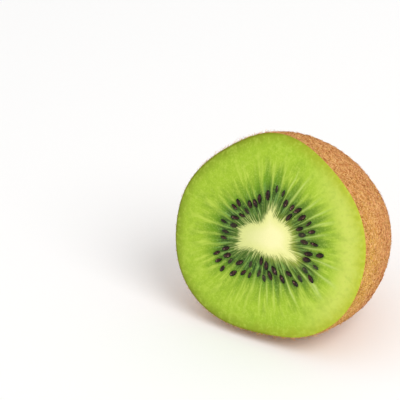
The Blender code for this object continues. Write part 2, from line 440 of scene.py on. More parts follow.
def count_chambers(turn, out):
    """The number of the chamber that each place is in, with the share of the way across it.

    First the spoke through each chamber's middle is found, by trying places all round the seed ring."""
    all_round = np.linspace(0, 1, ROUND_STEPS, endpoint=False)
    search_turn, search_out = np.meshgrid(all_round, np.linspace(0.1, 0.4, 25))
    search_turn = search_turn.ravel()
    places, _ = spoke_points(search_turn, search_out.ravel())
    middles = []
    for distance, angle in draw_chambers()[0]:
        off = places - np.array((distance * math.cos(angle), distance * math.sin(angle)))
        middles.append(search_turn[np.argmin((off**2).sum(axis=1))])
    middles = np.sort(middles)
    wrapped = np.concatenate((middles - 1, middles, middles + 1))
    walls = (wrapped[1:] + wrapped[:-1]) / 2
    on_ring = polar(SWAY_AROUND, math.tau * turn, out * SWAY_OUT)
    sway = np.array([noise.noise(place) for place in on_ring])
    return np.interp(turn, walls, np.arange(len(walls))) + SWAY * sway


def chamber_marks(turn, out):
    """How deep green the chambers are at each place, and how pale the partitions between them."""
    count = count_chambers(turn, out)
    draw = np.random.default_rng(MARKS_DRAW)
    chamber = np.floor(count).astype(int) % CHAMBERS
    across = (count - np.floor(count) - 0.5) * 2
    tip = draw.uniform(*CHAMBER_TIP, CHAMBERS)
    tip = tip + CHAMBER_TIP_WAVE * np.cos(math.tau * (np.arange(CHAMBERS) / CHAMBERS - 0.1))
    dark = draw.uniform(*CHAMBER_DARK, CHAMBERS)
    lean = draw.uniform(-CHAMBER_LEAN, CHAMBER_LEAN, CHAMBERS)
    reach = np.clip((out - CHAMBER_START) / (tip[chamber] - CHAMBER_START), 0, 1)
    half_width = 0.62 + 0.28 * smooth(out, 0.02, 0.14)
    half_width = half_width * (1 - 0.7 * reach**2)
    inside = smooth(half_width - np.abs(across + lean[chamber] * out), -0.06, 0.34)
    chambers = inside * dark[chamber] * smooth(out, -0.03, 0.06) * (1 - smooth(reach, 0.4, 1))

    wall = np.round(count).astype(int) % CHAMBERS
    off_wall = (count - np.round(count)) * 2
    strength = draw.uniform(*PARTITION_STRENGTH, CHAMBERS)
    width = draw.uniform(*PARTITION_WIDTH, CHAMBERS)
    end = draw.uniform(*PARTITION_END, CHAMBERS)
    twin = np.where(draw.random(CHAMBERS) < TWIN_SHARE, TWIN_STRENGTH, 0)
    twin_off = draw.uniform(-TWIN_OFF, TWIN_OFF, CHAMBERS)
    pale = bump(off_wall, 0, width[wall] + 0.05 * out)
    split = bump(off_wall, twin_off[wall] * smooth(out, 0.1, 0.5), TWIN_WIDTH)
    pale = np.maximum(pale, twin[wall] * split)
    pale = pale * strength[wall] * (0.45 + 0.55 * smooth(out, 0.0, 0.25))
    pale = pale * (1 - smooth(out, end[wall] - PARTITION_FADE, end[wall]))
    return chambers, pale


def seed_hollows(flat):
    """How close each place lies to a seed: 1 under it, and 0 from a millimetre off."""
    near = np.zeros(len(flat))
    for x, y in seed_spots():
        reach = math.hypot(x, y)
        off = flat - np.array((x, y))
        along = (off[:, 0] * x + off[:, 1] * y) / reach
        aside = (off[:, 1] * x - off[:, 0] * y) / reach
        gap = np.hypot(along / HOLLOW_LENGTH, aside)
        near = np.maximum(near, 1 - smooth(gap, *HOLLOW_REACH))
    return near


def dress_spokes(mesh, turn, out, flat):
    """Stores what the cut's pattern reads. Returns how far the cut rises or sinks at each corner."""
    chambers, pale = chamber_marks(turn, out)
    hollows = seed_hollows(flat)
    set_attribute(mesh, "spoke", polar(1, math.tau * turn, out))
    set_attribute(mesh, "past_core", past_core(flat) / MM)
    set_attribute(mesh, "chamber", chambers)
    set_attribute(mesh, "partition", pale)
    set_attribute(mesh, "seed_hollow", hollows)
    sunk = np.maximum(chambers * smooth(out, 0.02, 0.12), hollows)
    return PARTITION_RISE * pale - CHAMBER_SINK * sunk


def make_flesh():
    """Lays the sheet's rows: first those in the hole, then the cut face, then the side under the skin."""
    last_row = HOLE_ROWS + FACE_ROWS + SIDE_ROWS + 2
    flesh, turn, row = wrapped_grid("cut_flesh", SPOKE_COLUMNS, last_row)
    at_core, at_rim = spoke_angles(turn)
    face = row - HOLE_ROWS - 1
    out = np.clip(face / FACE_ROWS, 0, 1)
    flat, spoke_length = spoke_points(turn, out)
    relief = dress_spokes(flesh.data, turn, out, flat)
    to_skin = (1 - out) * spoke_length
    height = face_height(flat[:, 0], flat[:, 1]) + relief * smooth(out, 0, 0.03)
    height = height - EDGE_DROP * np.clip(1 - to_skin / EDGE_WIDTH, 0, 1) ** 2
    points = np.column_stack((flat, height))

    share = np.clip((HOLE_ROWS - row) / (HOLE_ROWS - 1 + TIP_ROW), 0, 1)
    side = np.where(row == 0, 0, core_side(at_core, np.sqrt(1 - share**2), HOLE_WIDER))
    deep = np.where(row == 0, -CORE_DEPTH - HOLE_DEEPER, -CORE_DEPTH * share)
    in_hole = face < 0
    points[in_hole] = polar(side, at_core, deep)[in_hole]

    down = np.clip((face - FACE_ROWS) / (SIDE_ROWS + 1), 0, 1)
    quarter = math.pi / 2 * down
    inset = SKIN_THICKNESS + SIDE_INSET * smooth(down, 0.15, 0.6)
    radius = MEAN_RADIUS * np.clip(np.cos(quarter), 0, 1) ** (2 / FULLNESS) - inset
    radius = np.where(row == last_row, 0, np.maximum(radius, 0))
    depth = (HALF_LENGTH - inset) * np.sin(quarter) ** (2 / FULLNESS)
    under_skin = face > FACE_ROWS
    points[under_skin] = grown(polar(radius, at_rim, -depth)[under_skin])
    close_sheet(flesh, points)
    for vertex in flesh.data.vertices:
        vertex.co.z = max(vertex.co.z, FLOOR_GAP)
    return flesh


def srgb(red, green, blue):
    """A colour as the eye reads it, 0 to 255, in the linear values that shaders take."""
    linear = []
    for value in (red, green, blue):
        share = value / 255
        linear.append(share / 12.92 if share <= 0.04045 else ((share + 0.055) / 1.055) ** 2.4)
    return (*linear, 1)


def feed(tree, node, inputs):
    """Links each input of the node to a socket, or sets it to a value."""
    for name, value in inputs.items():
        if isinstance(value, bpy.types.NodeSocket):
            tree.links.new(value, node.inputs[name])
        else:
            node.inputs[name].default_value = value


def add_node(tree, kind, inputs=None, **settings):
    """A shader node with its settings and inputs."""
    made = tree.nodes.new(kind)
    for name, value in settings.items():
        setattr(made, name, value)
    feed(tree, made, inputs or {})
    return made


def object_place(tree):
    """Where each point of the piece is."""
    return add_node(tree, "ShaderNodeTexCoord").outputs["Object"]


def read(tree, name, output="Fac"):
    """What the piece's attribute of this name holds."""
    return add_node(tree, "ShaderNodeAttribute", attribute_name=name).outputs[output]


def calc(tree, operation, first, second=0.5):
    return add_node(tree, "ShaderNodeMath", {0: first, 1: second}, operation=operation).outputs[0]


def ramp(tree, value, low, high, start=0.0, end=1.0):
    """A soft step from start to end as value goes from low to high."""
    inputs = {"Value": value, "From Min": low, "From Max": high, "To Min": start, "To Max": end}
    step = add_node(tree, "ShaderNodeMapRange", inputs, interpolation_type="SMOOTHSTEP")
    return step.outputs["Result"]


def tint(tree, share, under, over):
    """under where share is 0, over where it is 1."""
    mix = add_node(tree, "ShaderNodeMix", {0: share, 6: under, 7: over}, data_type="RGBA")
    return mix.outputs[2]


def grain(tree, vector, stretch, detail=2.0, roughness=0.5):
    """Noise between 0 and 1, mostly around a half. stretch is how often it changes along each axis."""
    scaled = add_node(tree, "ShaderNodeVectorMath", {0: vector, 1: stretch}, operation="MULTIPLY")
    inputs = {"Vector": scaled.outputs[0], "Scale": 1.0, "Detail": detail, "Roughness": roughness}
    return add_node(tree, "ShaderNodeTexNoise", inputs).outputs["Fac"]


def reach_along(tree, place, way):
    """How far a place lies from the origin in this direction."""
    product = add_node(tree, "ShaderNodeVectorMath", {0: place, 1: way}, operation="DOT_PRODUCT")
    return product.outputs["Value"]


# Directions towards the lamp's side of the fruit. Along them the pattern paints light: the flesh, its rim,
# the chambers, the partitions and the core's fringe each get a lit copy of their colour on that side, and
# a shaded one on the other.
LAMP_SIDE_WAY = (0.99, 0, 0.13)
RIM_LAMP_SIDE_WAY = (0.99, 0, 0.12)
CREAM = srgb(255, 250, 186)
CREAM_SHADE = srgb(242, 242, 160)
CREAM_GREEN = srgb(216, 223, 140)
CORE_FRINGE = srgb(82, 112, 36)
CORE_LAMP_LIT = srgb(154, 168, 60)
INNER_GREEN = srgb(78, 108, 34)
MIDDLE_GREEN = srgb(112, 150, 34)
FLESH_GREEN = srgb(165, 199, 50)
FLESH_PALE = srgb(196, 220, 84)
FLESH_LAMP_LIT = srgb(207, 220, 98)
CHAMBER_DEEP = srgb(52, 84, 28)
CHAMBER_LAMP_LIT = srgb(72, 94, 30)
CHAMBER_END = srgb(106, 152, 24)
CHAMBER_END_LAMP_SIDE = srgb(86, 122, 34)
PARTITION_DIM = srgb(122, 158, 76)
PARTITION_LAMP_LIT = srgb(164, 190, 104)
PARTITION_PALE = srgb(200, 222, 92)
PARTITION_LIT = srgb(202, 222, 124)
GEL_SPECK_AND_GLINT = srgb(140, 176, 84)
STREAK_PALE = srgb(128, 172, 90)
STREAK_DARK = srgb(40, 74, 22)
RIM_OLIVE = srgb(128, 148, 27)
RIM_LAMP_LIT = srgb(184, 194, 46)
SHADED_RIM_LINE = srgb(124, 122, 22)


def make_spoke_pattern():
    """The colour, wetness and relief of a cut kiwi fruit, shared by the flesh and the core."""
    group = bpy.data.node_groups.new("kiwi_spokes", "ShaderNodeTree")
    for name, kind in (("Color", "Color"), ("Height", "Float"), ("Roughness", "Float")):
        group.interface.new_socket(name, in_out="OUTPUT", socket_type="NodeSocket" + kind)
    place = object_place(group)
    across = add_node(group, "ShaderNodeSeparateXYZ", {0: place}).outputs["X"]
    spoke = read(group, "spoke", "Vector")
    out = add_node(group, "ShaderNodeSeparateXYZ", {0: spoke}).outputs["Z"]
    past = read(group, "past_core")
    chamber = read(group, "chamber")
    partition = read(group, "partition")
    hollow = read(group, "seed_hollow")
    # Painted light and shade: the right side, towards the lamp, takes the lit copies of the chamber,
    # partition and core-fringe colours, and the left side takes the shaded ones.
    lamp_side = ramp(group, across, -0.004, 0.010)
    # Painted light: the outer flesh on the right, towards the lamp, is painted lighter and yellower.
    lamp_lit = ramp(group, reach_along(group, place, LAMP_SIDE_WAY), 0.0105, 0.0265)

    fibres = grain(group, spoke, (32, 32, 5), 2, 0.6)
    threads = grain(group, spoke, (21, 21, 3.2), 2, 0.55)
    streaks = grain(group, spoke, (30, 30, 3), 1, 0.5)
    clouds = grain(group, spoke, (8, 8, 4), 3, 0.6)
    beads = grain(group, place, (2400, 2400, 2400), 2, 0.6)

    flesh = tint(group, ramp(group, out, 0.02, 0.3), INNER_GREEN, MIDDLE_GREEN)
    flesh = tint(group, ramp(group, out, 0.22, 0.68), flesh, FLESH_GREEN)
    flesh = tint(group, calc(group, "MULTIPLY", lamp_lit, ramp(group, out, 0.5, 0.8)), flesh, FLESH_LAMP_LIT)
    fading = ramp(group, out, 0.86, 0.5, 0.1, 0.9)
    pale_threads = calc(group, "MULTIPLY", ramp(group, threads, 0.46, 0.66), fading)
    pale_threads = calc(group, "MULTIPLY", pale_threads, ramp(group, out, 0.3, 0.6))
    flesh = tint(group, pale_threads, flesh, FLESH_PALE)
    fading = ramp(group, out, 0.9, 0.5, 0.3, 1.0)
    dim_clouds = calc(group, "MULTIPLY", ramp(group, clouds, 0.55, 0.3, 0.0, 0.5), fading)
    flesh = tint(group, dim_clouds, flesh, MIDDLE_GREEN)
    flesh = tint(group, ramp(group, beads, 0.45, 0.75, 0.0, 0.45), flesh, FLESH_PALE)
    # The band along the skin is partly the flesh's own darker edge. On the left, away from the lamp, it
    # carries painted shade, and on the right painted light.
    bright = reach_along(group, place, RIM_LAMP_SIDE_WAY)
    rim = tint(group, ramp(group, bright, -0.014, 0.034), RIM_OLIVE, RIM_LAMP_LIT)
    uneven_out = calc(group, "ADD", out, ramp(group, clouds, 0.35, 0.65, -0.02, 0.02))
    flesh = tint(group, ramp(group, uneven_out, 0.8, 1.04), flesh, rim)
    mottles = grain(group, place, (850, 850, 850), 2, 0.6)
    outer = ramp(group, out, 0.5, 0.75)
    dark_mottles = calc(group, "MULTIPLY", ramp(group, mottles, 0.5, 0.34, 0.0, 0.12), outer)
    flesh = tint(group, dark_mottles, flesh, MIDDLE_GREEN)
    pale_mottles = calc(group, "MULTIPLY", ramp(group, mottles, 0.5, 0.66, 0.0, 0.3), outer)
    # On the lamp's side the pale mottles take the yellower colour of the painted light.
    flesh = tint(group, pale_mottles, flesh, tint(group, lamp_lit, FLESH_PALE, FLESH_LAMP_LIT))
    # Painted shade: a dark line along the skin on the left side, away from the lamp.
    away_from_lamp = ramp(group, bright, 0.016, -0.004, 0.0, 0.6)
    shaded_rim_line = calc(group, "MULTIPLY", ramp(group, out, 0.965, 0.99), away_from_lamp)
    flesh = tint(group, shaded_rim_line, flesh, SHADED_RIM_LINE)

    # The gel: its shaded colour on the left, and its painted lit colour on the right, towards the lamp.
    gel = tint(group, lamp_side, CHAMBER_DEEP, CHAMBER_LAMP_LIT)
    gel = tint(group, ramp(group, out, 0.2, 0.4), gel, tint(group, lamp_side, CHAMBER_END, CHAMBER_END_LAMP_SIDE))
    # Pale specks in the gel: partly its own grains, partly painted glints.
    gel = tint(group, ramp(group, beads, 0.52, 0.7, 0.0, 0.6), gel, GEL_SPECK_AND_GLINT)
    beaded = calc(group, "MULTIPLY", chamber, ramp(group, beads, 0.25, 0.5, 1.0, 0.88))
    flesh = tint(group, beaded, flesh, gel)
    inner = ramp(group, out, 0.45, 0.15)
    pale_streaks = calc(group, "MULTIPLY", ramp(group, streaks, 0.52, 0.64, 0.0, 0.75), inner)
    flesh = tint(group, pale_streaks, flesh, STREAK_PALE)
    dark_streaks = calc(group, "MULTIPLY", ramp(group, streaks, 0.48, 0.36, 0.0, 0.75), inner)
    flesh = tint(group, dark_streaks, flesh, STREAK_DARK)
    # The partitions: shaded on the left, and painted lit on the right, towards the lamp.
    line = tint(group, lamp_side, PARTITION_DIM, PARTITION_LAMP_LIT)
    outer_line = tint(group, lamp_side, PARTITION_PALE, PARTITION_LIT)
    line = tint(group, ramp(group, out, 0.12, 0.5), line, outer_line)
    flesh = tint(group, calc(group, "MULTIPLY", partition, 0.85), flesh, line)
    # Round each seed the flesh takes the gel's dark colour: partly the gel's own colour, partly painted
    # shade in the seed's hollow.
    flesh = tint(group, calc(group, "MULTIPLY", hollow, 0.75), flesh, gel)

    # Painted light: right by the core, on the side towards the lamp, the fringe is painted lighter.
    lit_near_core = calc(group, "MULTIPLY", lamp_side, ramp(group, past, 3.4, 0.4))
    near = tint(group, lit_near_core, CORE_FRINGE, CORE_LAMP_LIT)
    near = tint(group, ramp(group, fibres, 0.46, 0.34, 0.0, 0.6), near, STREAK_DARK)
    near = tint(group, ramp(group, fibres, 0.5, 0.68), near, CREAM_GREEN)
    flesh = tint(group, ramp(group, past, 2.8, 0.3, 0.0, 0.85), flesh, near)

    cream = tint(group, ramp(group, past, -3.5, -0.6), CREAM, CREAM_SHADE)
    # Painted shade: the core's left side, away from the lamp, is painted greener and darker.
    cream = tint(group, ramp(group, across, 0.002, -0.007, 0.0, 0.8), cream, CREAM_GREEN)
    wander = ramp(group, fibres, 0.3, 0.7, 0.55, -0.55)
    fringe = calc(group, "ADD", past, wander)
    fringe = calc(group, "ADD", fringe, ramp(group, across, -0.005, 0.004, 0.05, -0.35))
    color = tint(group, ramp(group, fringe, -1.25, 0.55), cream, flesh)

    relief = calc(group, "MULTIPLY", calc(group, "ADD", fibres, beads), 0.6)
    wet = ramp(group, chamber, 0.0, 1.0, 0.55, 0.4)
    add_node(group, "NodeGroupOutput", {"Color": color, "Height": relief, "Roughness": wet})
    return group


def new_material(name):
    """A material, and the tree of its nodes."""
    material = bpy.data.materials.new(name)
    material.use_nodes = True
    return material, material.node_tree


def show(tree, color, roughness, gloss, bumps=None):
    """What the material's shader gets. The bumps are their height pattern, strength and depth."""
    inputs = {"Base Color": color, "Roughness": roughness, "Specular IOR Level": gloss}
    if bumps:
        relief = dict(zip(("Height", "Strength", "Distance"), bumps))
        inputs["Normal"] = add_node(tree, "ShaderNodeBump", relief).outputs["Normal"]
    feed(tree, tree.nodes["Principled BSDF"], inputs)


def wet_material(name, group):
    """A moist cut surface that shows the spoke pattern."""
    material, tree = new_material(name)
    pattern = add_node(tree, "ShaderNodeGroup", node_tree=group).outputs
    show(tree, pattern["Color"], pattern["Roughness"], 0.16, (pattern["Height"], 0.4, 0.1 * MM))
    return material


def dress(piece, material, node):
    piece.data.materials.clear()
    piece.data.materials.append(material)
    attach(piece, "root")
    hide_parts(node)


spoke_pattern = make_spoke_pattern()
dress(make_flesh(), wet_material("green_flesh", spoke_pattern), "flesh")


# The core: the pale, fibrous heart of the fruit, which runs in from the cut and tapers to a blunt tip.
# It is grown together with the flesh: its edge lies just under the flesh's, so the two show no gap.
CORE_COLUMNS = 360
CORE_TOP_ROWS = 36
CORE_SIDE_ROWS = 10
CORE_WIDER = 0.03 * MM
CORE_DEEPER = 0.05 * MM
UNDER_EDGE = 0.3 * MM  # how far the first ring of the side lies under the crown


def make_core():
    """The crowned top, which carries on the cut face, and then the side down to the tip."""
    last_row = CORE_TOP_ROWS + CORE_SIDE_ROWS + 1
    core, turn, row = wrapped_grid("pale_core", CORE_COLUMNS, last_row)
    at_core, _ = spoke_angles(turn)
    out = np.clip(row / CORE_TOP_ROWS, 0, 1) - 1
    flat, _ = spoke_points(turn, out)
    dress_spokes(core.data, turn, out, flat)
    points = np.column_stack((flat, face_height(flat[:, 0], flat[:, 1])))
    share = np.clip((row - CORE_TOP_ROWS - 1) / (CORE_SIDE_ROWS - 1 + TIP_ROW), 0, 1)
    side = np.where(row == last_row, 0, core_side(at_core, np.sqrt(1 - share**2), CORE_WIDER))
    deep = np.where(row == last_row, -CORE_DEPTH - CORE_DEEPER, -CORE_DEPTH * share)
    deep = np.where(row == CORE_TOP_ROWS + 1, CROWN - UNDER_EDGE, deep)
    below = row > CORE_TOP_ROWS
    points[below] = polar(side, at_core, deep)[below]
    close_sheet(core, points)
    return core


dress(make_core(), wet_material("cream_core", spoke_pattern), "core")


# The seeds: small flat drops with a red-brown middle, one or two to a chamber. Their edge is painted
# near-black as shade.
# They lie half sunk in the wet flesh, some deeper than others. One is shaped, and the rest are copies.
SEED_SINKS = 0.32 * MM  # how much deeper the deepest ones lie
SEED_POINTED = 0.5  # of its width, which it loses towards the point
SEED_NARROW = (0.68, 1.02)
SEED_TILT = 0.25
SEED_DARK = srgb(34, 18, 14)
SEED_BROWN = srgb(72, 36, 30)
SEED_GLINT = srgb(170, 140, 124)
SEED_EDGE_SHADE = srgb(22, 18, 8)
SEED_VEIL = srgb(52, 66, 34)


def make_seed():
    """One seed of length 1 along X, drawn out to a point at -X."""
    bpy.ops.object.select_all(action="DESELECT")
    bpy.ops.mesh.primitive_uv_sphere_add(
        segments=20, ring_count=12, radius=0.5, rotation=(0, math.pi / 2, 0)
    )
    seed = bpy.context.object
    bpy.ops.object.transform_apply(location=True, rotation=True, scale=True)
    for vertex in seed.data.vertices:
        narrow = 1 - SEED_POINTED * (max(0, -vertex.co.x) * 2) ** 1.5
        vertex.co.y *= narrow
        vertex.co.z *= (1 + narrow) / 2
    flat = np.array([(vertex.co.x * 2, vertex.co.y * 2) for vertex in seed.data.vertices])
    set_attribute(seed.data, "seed_edge", np.minimum(np.hypot(*flat.T), 1))
    return seed


def plant_seeds():
    """All the seeds, each a copy of one, turned to the axis and sunk in at its spot."""
    draw = random.Random(SEED_DRAW + 1)
    depth_draw = random.Random(SEED_DRAW + 2)
    pattern = make_seed()
    planted = []
    for x, y in seed_spots():
        size = draw.uniform(*SEED_SIZES_VARY)
        lean = math.atan2(y, x) + draw.uniform(-SEED_LEAN, SEED_LEAN)
        sunk = depth_draw.random() ** 2
        distance = math.hypot(x, y)
        crown = CROWN * (1 - (distance / MEAN_RADIUS) ** CROWN_POWER)
        z = crown + SEED_RISE - SEED_SIZE[2] / 2 - SEED_SINKS * sunk
        seed = pattern.copy()
        seed.data = pattern.data.copy()
        bpy.context.scene.collection.objects.link(seed)
        narrow = depth_draw.uniform(*SEED_NARROW)
        tilt = depth_draw.uniform(-SEED_TILT, SEED_TILT)
        scale = Matrix.Diagonal((SEED_SIZE[0] * size, SEED_SIZE[1] * size * narrow, SEED_SIZE[2], 1))
        turn = Matrix.Rotation(lean, 4, "Z") @ Matrix.Rotation(tilt, 4, "Y")
        seed.data.transform(LAID_DOWN @ Matrix.Translation((x, y, z)) @ turn @ scale)
        set_attribute(seed.data, "veil", np.full(len(seed.data.vertices), sunk))
        planted.append(seed)
    bpy.data.objects.remove(pattern)
    pick_only(planted[0])
    for seed in planted:
        seed.select_set(True)
    bpy.ops.object.join()
    bpy.ops.object.shade_smooth()
    planted[0].name = "seeds"
    return planted[0]


def seed_material():
    """A glossy coat, red-brown in the middle, with painted shade making its edge near-black and painted
    glints in pale specks. Sunken seeds are veiled by the wet flesh over them.
    """
    material, tree = new_material("dark_seed")
    patches = grain(tree, object_place(tree), (1500, 1500, 1500), 2, 0.6)
    middle = tint(tree, ramp(tree, patches, 0.35, 0.65), SEED_DARK, SEED_BROWN)
    middle = tint(tree, ramp(tree, patches, 0.6, 0.7, 0.0, 0.7), middle, SEED_GLINT)
    # Painted shade: the seed's edge, where it turns away from the light, is painted near-black.
    color = tint(tree, ramp(tree, read(tree, "seed_edge"), 0.45, 0.9), middle, SEED_EDGE_SHADE)
    veil = ramp(tree, read(tree, "veil"), 0.45, 1.0, 0.0, 0.6)
    color = tint(tree, veil, color, SEED_VEIL)
    show(tree, color, 0.38, 0.22, (patches, 0.3, 0.06 * MM))
    return material


dress(plant_seeds(), seed_material(), "flesh")


# The skin: a thin, tough brown rind that follows the flesh, cut off square at the rim.
# A sheet wrapped round the axis takes the fruit's form, with the stalk's scar in its nose.
# A solidify modifier then gives it its thickness.
SKIN_COLUMNS = 288
SKIN_ROWS = 72  # from the rim to the nose
SCAR_ROWS = 26  # of those, the ones in and near the scar
SCAR_NEAR = 7.0 * MM
SCAR_RADIUS = 4.6 * MM
SCAR_TOP = 33.8 * MM  # depth below the cut where the scar's bare skin starts
BUTTON_RADIUS = 3.2 * MM
RING_DEPTH = 0.7 * MM
LIP_RISE = 0.3 * MM
LIP_WIDTH = 0.6 * MM
BELOW_CUT = 0.2 * MM  # where the skin starts, so that it stays under the flesh's soft edge
PATTERN_ROW = 0.6 * MM
SKIN_CREASE = math.radians(40)
SKIN_BROWN = srgb(192, 122, 64)
SKIN_TAN = srgb(202, 138, 76)
SKIN_GOLDEN = srgb(204, 158, 54)
SKIN_DARK = srgb(150, 84, 34)
STRAND_PALE = srgb(238, 190, 126)
STRAND_FINE = srgb(234, 182, 120)
STRAND_DARK = srgb(160, 90, 38)


def scar_hollow(distance):
    """How far the dish round the stalk's button sinks in. On the lip outside it is a rise."""
    dish = RING_DEPTH * (1 - smooth(distance, BUTTON_RADIUS, SCAR_RADIUS))
    return dish - LIP_RISE * bump(distance, SCAR_RADIUS + 0.5 * MM, LIP_WIDTH)


def skin_rows(row):
    """Distance from the axis and depth below the cut, of each row of the skin."""
    plain_rows = SKIN_ROWS - SCAR_ROWS
    last_quarter = math.acos((SCAR_NEAR / MEAN_RADIUS) ** (FULLNESS / 2))
    quarter = last_quarter * np.minimum(row / plain_rows, 1)
    radius = MEAN_RADIUS * np.cos(quarter) ** (2 / FULLNESS)
    radius = np.where(row > plain_rows, SCAR_NEAR * (SKIN_ROWS - row) / SCAR_ROWS, radius)
    radius = np.where(row == 0, MEAN_RADIUS, radius)
    depth = HALF_LENGTH * np.clip(1 - (radius / MEAN_RADIUS) ** FULLNESS, 0, 1) ** (1 / FULLNESS)
    return radius, depth


def make_skin():
    """The rind's outside, open at the cut. It stores where the pattern runs and how far down it is."""
    skin, turn, row = wrapped_grid("skin", SKIN_COLUMNS, SKIN_ROWS)
    angle = math.tau * turn
    radius, depth = skin_rows(row)
    ring = polar(radius, angle)
    height = scar_hollow(radius) - np.where(row == 0, BELOW_CUT, depth)
    points = grown(np.column_stack((ring, height)))
    round_fruit = np.column_stack((ring, row * PATTERN_ROW)) / MEAN_RADIUS
    set_attribute(skin.data, "round_fruit", round_fruit)
    set_attribute(skin.data, "below_cut", depth / MM)
    close_sheet(skin, points)
    for vertex in skin.data.vertices:
        vertex.co.z = max(vertex.co.z, 0)
    return skin


def thicken(piece, thickness):
    """Gives the sheet a wall, inward from where it is."""
    wall = piece.modifiers.new("Wall", "SOLIDIFY")
    wall.thickness = thickness
    wall.offset = -1
    pick_only(piece)
    bpy.ops.object.modifier_apply(modifier="Wall")
    bpy.ops.object.shade_smooth_by_angle(angle=SKIN_CREASE)


def strand_lines(tree, noise_value):
    """Thin curly lines, drawn where the noise passes through a half."""
    off = calc(tree, "ABSOLUTE", calc(tree, "SUBTRACT", noise_value, 0.5))
    return ramp(tree, off, 0.05, 0.01)


def golden_share(tree):
    """How golden the skin and its hairs are: most so near the cut, and low on the fruit."""
    height = add_node(tree, "ShaderNodeSeparateXYZ", {0: object_place(tree)}).outputs["Z"]
    low = ramp(tree, height, 0.046, 0.024, 0.15, 1.0)
    return calc(tree, "MULTIPLY", ramp(tree, read(tree, "below_cut"), 12.0, 2.0), low)


def skin_material():
    """Matt brown, crossed by strands that pass for the shortest hairs."""
    material, tree = new_material("brown_skin")
    place = object_place(tree)
    round_fruit = read(tree, "round_fruit", "Vector")
    patches = grain(tree, place, (110, 110, 110), 2, 0.5)
    lie = grain(tree, round_fruit, (40, 40, 90), 1, 0.5)
    mats = grain(tree, place, (900, 900, 900), 2, 0.6)
    golden = golden_share(tree)
    under = tint(tree, ramp(tree, patches, 0.35, 0.65), SKIN_BROWN, SKIN_TAN)
    color = tint(tree, golden, under, SKIN_GOLDEN)
    color = tint(tree, ramp(tree, mats, 0.48, 0.33, 0.0, 0.6), color, SKIN_DARK)
    color = tint(tree, strand_lines(tree, lie), color, STRAND_PALE)
    fine_lines = strand_lines(tree, grain(tree, place, (1200, 1200, 1200), 1, 0.5))
    color = tint(tree, fine_lines, color, STRAND_FINE)
    dark_lines = strand_lines(tree, grain(tree, place, (1000, 1000, 1000), 1, 0.5))
    color = tint(tree, calc(tree, "MULTIPLY", dark_lines, 0.75), color, STRAND_DARK)
    show(tree, color, 0.85, 0.15, (calc(tree, "ADD", lie, mats), 0.7, 0.2 * MM))
    return material


brown_skin = skin_material()
skin = make_skin()
skin_outside = skin.data.copy()
thicken(skin, SKIN_THICKNESS)
dress(skin, brown_skin, "flesh")


# The stalk's button: the dry, woody plug that stays in the nose where the fruit was picked.
# A flattened ball, cracked in rays from its middle, and set in the ring of the scar.
BUTTON_RISE = 0.3 * MM
BUTTON_HALF_HEIGHT = 0.9 * MM
BUTTON_OVERLAP = 1.06
BUTTON_CRACKS = 11
CRACK_DEPTH = 0.32 * MM
BUTTON_DIMPLE = 0.25 * MM
WOOD_DARK = srgb(104, 68, 44)
WOOD_PALE = srgb(156, 112, 74)
WOOD_CRACK = srgb(60, 38, 26)


def make_button():
    bpy.ops.object.select_all(action="DESELECT")
    bpy.ops.mesh.primitive_uv_sphere_add(segments=88, ring_count=40, radius=1)
    button = bpy.context.object
    button.name = "stalk_button"
    corners = np.array([vertex.co for vertex in button.data.vertices])
    angle = np.arctan2(corners[:, 1], corners[:, 0])
    across = np.hypot(corners[:, 0], corners[:, 1])
    ragged = 1 + 0.05 * np.cos(5 * angle + 1) + 0.04 * np.cos(8 * angle)
    crack = np.abs(np.cos(BUTTON_CRACKS / 2 * angle + 0.6 * np.sin(3 * angle))) ** 0.5
    outward = np.clip(-corners[:, 2], 0, 1)
    height = corners[:, 2] * BUTTON_HALF_HEIGHT
    height = height + CRACK_DEPTH * (1 - crack) * smooth(across, 0.15, 0.6) * outward
    height = height + BUTTON_DIMPLE * bump(across, 0, 0.3) * outward
    x = corners[:, 0] * BUTTON_RADIUS * BUTTON_OVERLAP * ragged
    y = corners[:, 1] * BUTTON_RADIUS * BUTTON_OVERLAP * ragged
    rise = -HALF_LENGTH - BUTTON_RISE + BUTTON_HALF_HEIGHT
    points = np.column_stack((x + NOSE_LEAN[0], y + NOSE_LEAN[1], height + rise))
    button.data.vertices.foreach_set("co", laid(points).astype(np.float32).ravel())
    button.data.update()
    set_attribute(button.data, "crack", crack * np.minimum(across * 2, 1))
    bpy.ops.object.shade_smooth()
    return button


def button_material():
    """Dull wood, darker in the cracks."""
    material, tree = new_material("woody_button")
    specks = grain(tree, object_place(tree), (1800, 1800, 1800), 3, 0.6)
    color = tint(tree, ramp(tree, specks, 0.35, 0.65), WOOD_DARK, WOOD_PALE)
    color = tint(tree, ramp(tree, read(tree, "crack"), 0.6, 0.2, 0.0, 0.8), color, WOOD_CRACK)
    show(tree, color, 0.9, 0.5, (specks, 0.7, 0.2 * MM))
    return material


dress(make_button(), button_material(), "flesh")


# The fuzz: golden-brown hairs that lie combed over the skin, and longer curled ones between them.
# Along the cut the knife has left a fringe of them standing. Every hair is a thin closed spike
# with bends, rooted in the skin.
DOWN = {"length": (0.6 * MM, 1.5 * MM), "width": 0.1 * MM, "lift": (0.0, 0.14), "curl": 0.5, "bends": 1}
CURLS = {"length": (0.7 * MM, 1.7 * MM), "width": 0.085 * MM, "lift": (0.03, 0.3), "curl": 1.1, "bends": 2}
FRINGE = {"length": (0.4 * MM, 1.2 * MM), "width": 0.09 * MM, "lift": (0.25, 1.0), "curl": 0.8, "bends": 3}
DOWN_TRIED = 20000  # places tried on the whole skin, of which those in the piece's range are kept
CURLS_TRIED = 12500
FRINGE_TRIED = 100000
FRINGE_BAND = 0.7 * MM
HAIR_DRAW = 53
HAIR_WIDTHS_VARY = (0.7, 1.2)
HAIR_TAPER = 0.7  # of its width, which a hair loses on the way to its tip
HAIR_ROOT = 0.05 * MM  # how deep the hairs start in the skin
